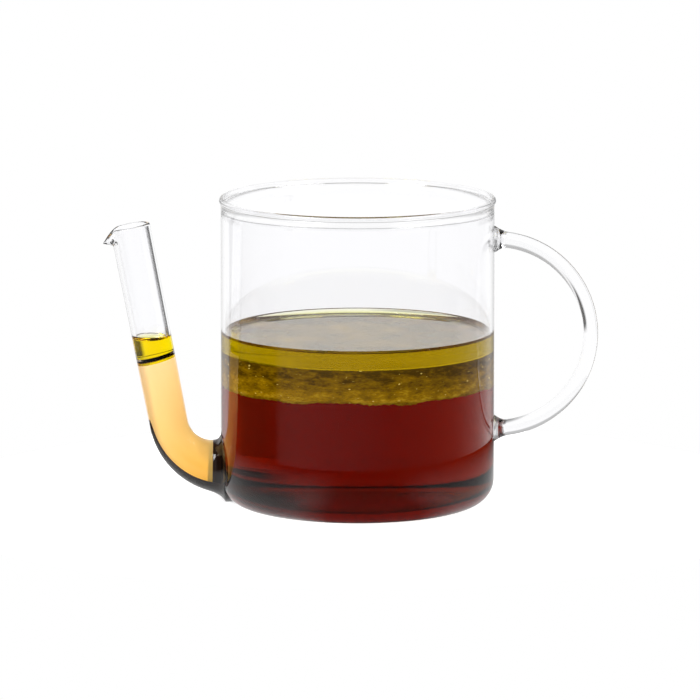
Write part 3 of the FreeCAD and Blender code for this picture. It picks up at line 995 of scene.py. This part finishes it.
def passedTone(tree, turn, rise):
    # What shows through clear bodies: white below level all round, and above it only the low
    # backdrop behind, so that edges that bend light upwards or to the front go dark.
    below = levelRamp(tree, rise, [(-90, 1.1), (1.5, 1.1), (3.0, 0.03), (90, 0.03)])
    above = levelRamp(tree, rise, [(-90, 1.05), (11, 1.05), (18, 0.58), (55, 0.5), (70, 0.7), (90, 0.7)])
    behind = levelRamp(tree, turn, [
        (-180, 0), (-84, 0), (-78, 1), (78, 1), (84, 0), (180, 0),
    ])
    # a dark card to the right, level with the jug
    card = levelRamp(tree, turn, [(-180, 0), (16, 0), (27, 0.9), (52, 0.9), (60, 0), (180, 0)])
    level = levelRamp(tree, rise, [(-90, 0), (-9, 0), (-6, 1), (4, 1), (9, 0), (90, 0)])
    both = mathNode(tree, "MULTIPLY", {0: card, 1: level})
    shown = mathNode(tree, "SUBTRACT", {1: both}, {0: 1.0})
    return timesNode(tree, mixNode(tree, {0: behind, 6: below, 7: above}), shown)


def roomTone(tree, path, vector):
    # the room as seen off or through clear bodies
    turn, rise = compass(tree, vector)
    return mixNode(tree, {
        0: path.outputs["Is Transmission Ray"], 6: reflectedTone(tree, turn, rise),
        7: passedTone(tree, turn, rise),
    })


def seenRays(tree, path):
    # 1 for rays that come through or off glass or metal, 0 for others
    return mathNode(tree, "MAXIMUM", {
        0: path.outputs["Is Glossy Ray"], 1: path.outputs["Is Transmission Ray"],
    })


def makeWorld():
    world = bpy.data.worlds.new("studioWorld")
    world.use_nodes = True
    tree = world.node_tree
    tree.nodes.clear()
    path = addNode(tree, "ShaderNodeLightPath")
    place = addNode(tree, "ShaderNodeTexCoord")
    seen = seenRays(tree, path)
    level = studio["diffuseLevel"]
    plain = mixNode(tree, {0: path.outputs["Is Camera Ray"]},
                    {6: (level, level, level, 1), 7: (1, 1, 1, 1)})
    room = roomTone(tree, path, place.outputs["Generated"])
    tone = mixNode(tree, {0: seen, 6: plain, 7: room})
    light = addNode(tree, "ShaderNodeBackground", {"Strength": 1.0}, {"Color": tone})
    addNode(tree, "ShaderNodeOutputWorld", {}, {"Surface": light.outputs[0]})
    bpy.context.scene.world = world


def makeFloor():
    # A round pale table top, painted white, that glows a little for the rays that reach the eye.
    # Mirrored in glass it is bright but in front, where it has painted shade, and seen through glass it
    # has a painted shadow under the jug.
    corners, radius = 96, studio["floorRadius"]
    angle = np.linspace(0.0, 2 * math.pi, corners, endpoint=False)
    ring = np.stack([radius * np.cos(angle), radius * np.sin(angle), 0 * angle], axis=1)
    floor = makeMesh("studioFloor", ring, [list(range(corners))])
    material, tree = newMaterial("paintedTableTop")
    path = addNode(tree, "ShaderNodeLightPath")
    place = addNode(tree, "ShaderNodeTexCoord")
    seen = seenRays(tree, path)
    paint = addNode(tree, "ShaderNodeBsdfDiffuse", {"Color": linearColour(studio["floorHex"])})
    glow = addNode(tree, "ShaderNodeEmission", {"Strength": studio["floorGlow"]})
    turn, _ = compass(tree, place.outputs["Object"])
    # painted light and shade as mirrored: bright to the sides and behind, dim in front of the jug
    lit = levelRamp(tree, turn, [
        (-180, 0.12), (-166, 0.15), (-148, 1.0), (-118, 0.95), (-60, 0.9), (0, 1.0), (60, 0.8),
        (128, 0.8), (150, 0.12), (180, 0.12),
    ])
    out = addNode(tree, "ShaderNodeVectorMath", {"operation": "LENGTH"}, {0: place.outputs["Object"]})
    away = mathNode(tree, "DIVIDE", {0: out.outputs["Value"]}, {1: radius * mm})
    # painted shadow as seen through glass: dark under the jug, bright past its edge
    shadowUnder = rampNode(tree, away, greyStops([
        (0.25, 0.045), (0.31, 0.07), (0.39, 0.2), (0.49, 1.05),
    ], 0, 1))
    # as mirrored, it dims to its edge
    dimmed = rampNode(tree, away, greyStops([(0.5, 1.0), (0.98, 0.02)], 0, 1))
    through = mixNode(tree, {
        0: path.outputs["Is Transmission Ray"], 6: timesNode(tree, lit, dimmed), 7: shadowUnder,
    })
    sweep = addNode(tree, "ShaderNodeEmission", {"Strength": 1.0}, {"Color": through})
    eye = addNode(tree, "ShaderNodeAddShader", {}, {0: paint.outputs[0], 1: glow.outputs[0]})
    toEye = addNode(tree, "ShaderNodeMixShader", {}, {
        0: path.outputs["Is Camera Ray"], 1: paint.outputs[0], 2: eye.outputs[0],
    })
    mix = addNode(tree, "ShaderNodeMixShader", {}, {
        0: seen, 1: toEye.outputs[0], 2: sweep.outputs[0],
    })
    endMaterial(tree, mix)
    floor.data.materials.append(material)


def makeLowCard():
    # A sheet of grey film behind the jug, clearer to its sides, which only clear bodies show.
    # It draws the dark stripe in the gravy to the left.
    v = studio
    left, right = v["filmLeft"], v["filmRight"]
    corners = np.array([
        (*left, v["filmLow"]), (*right, v["filmLow"]), (*right, v["filmHigh"]), (*left, v["filmHigh"]),
    ])
    card = makeMesh("lowCard", corners, [[0, 1, 2, 3]])
    material, tree = newMaterial("tintedFilm")
    place = addNode(tree, "ShaderNodeTexCoord")
    split = addNode(tree, "ShaderNodeSeparateXYZ", {}, {0: place.outputs["Object"]})
    share = addNode(tree, "ShaderNodeMapRange", {"From Min": left[0] * mm, "From Max": right[0] * mm},
                    {"Value": split.outputs["X"]})
    tint = rampNode(tree, share.outputs[0], greyStops([
        (0.0, 1.0), (0.35, v["filmLevel"]), (0.7, v["filmLevel"]), (1.0, 1.0),
    ], 0, 1))
    tone = addNode(tree, "ShaderNodeBsdfTransparent", {}, {"Color": tint})
    endMaterial(tree, tone)
    card.data.materials.append(material)
    card.visible_camera = False
    card.visible_diffuse = False
    card.visible_glossy = False
    card.visible_shadow = False


def makeLamp(name, place, side, power):
    # a soft square lamp at place, in mm, turned to the jug's middle
    lamp = bpy.data.objects.new(name, bpy.data.lights.new(name, "AREA"))
    bpy.context.scene.collection.objects.link(lamp)
    lamp.data.shape = "SQUARE"
    lamp.data.size = side * mm
    lamp.data.energy = power
    lamp.location = Vector(place) * mm
    heading = Vector((0, 0, 50)) * mm - lamp.location
    lamp.rotation_euler = heading.to_track_quat("-Z", "Y").to_euler()
    lamp.visible_camera = False


makeWorld()
makeFloor()
makeLowCard()
makeLamp("keyLamp", (-900, -700, 1100), 700, 14.0)
makeLamp("fillLamp", (900, -500, 900), 800, 8.0)
print("studio made")

scene = bpy.context.scene
scene.view_settings.view_transform = "Standard"
scene.cycles.max_bounces = 32
scene.cycles.transmission_bounces = 28
scene.cycles.glossy_bounces = 12
scene.cycles.transparent_max_bounces = 24
